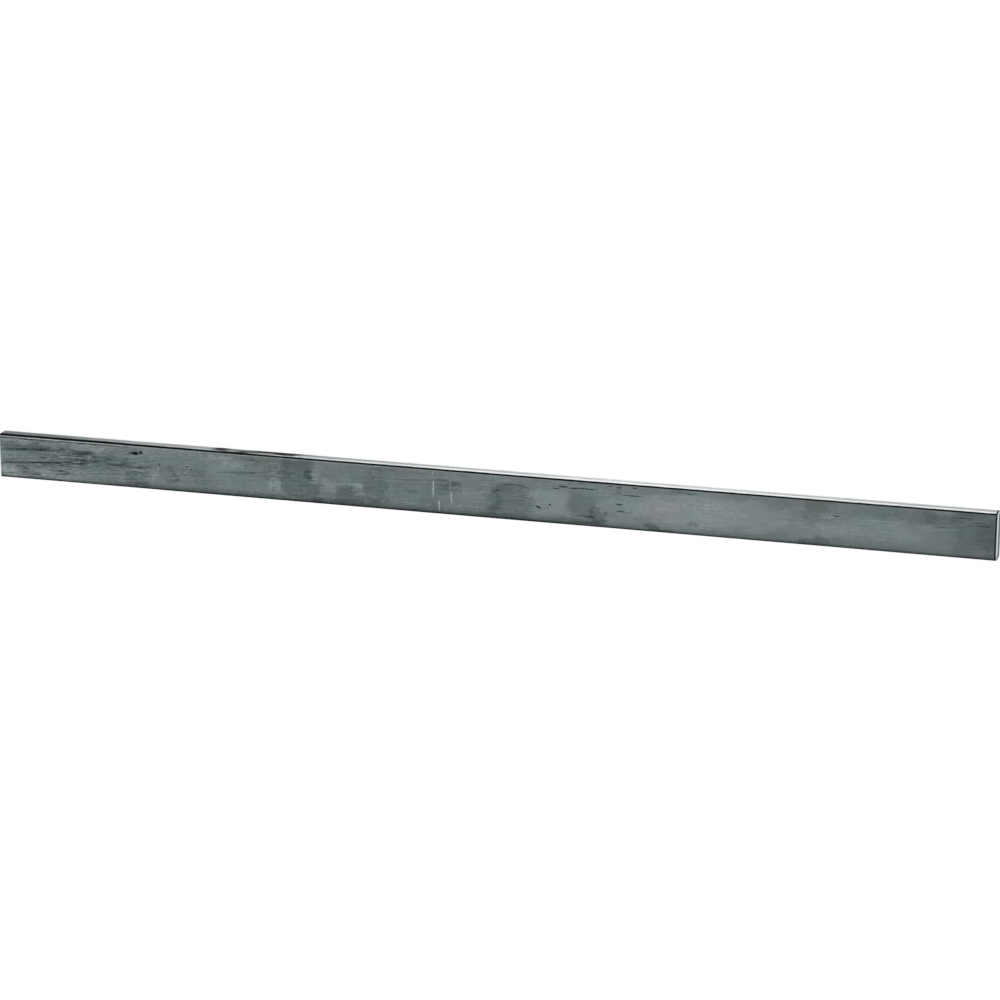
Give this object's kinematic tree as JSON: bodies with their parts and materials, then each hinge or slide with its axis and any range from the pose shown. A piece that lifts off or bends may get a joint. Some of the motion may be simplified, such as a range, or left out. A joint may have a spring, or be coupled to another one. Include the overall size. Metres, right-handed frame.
{
  "type": "flat bar",
  "caption": "Straight solid bar of hot-rolled steel with a flat rectangular section and square sawn ends; stock for frames, brackets, braces and plates.",
  "frame": {"origin": "under the bar's middle, on the wide face that it lies on", "axes": "+X along the bar, +Y across its width, +Z through its thickness, up from the surface it lies on"},
  "size_m": [1, 0.045, 0.015],
  "materials": {
    "hot_rolled_steel": "bare hot-rolled mill scale, dull blue-grey with long rolling streaks, rubbed brighter on the narrow edges, ends ground bright round the saw cut"
  },
  "bodies": {
    "root": {"flat_bar": "hot_rolled_steel"}
  },
  "joints": []
}
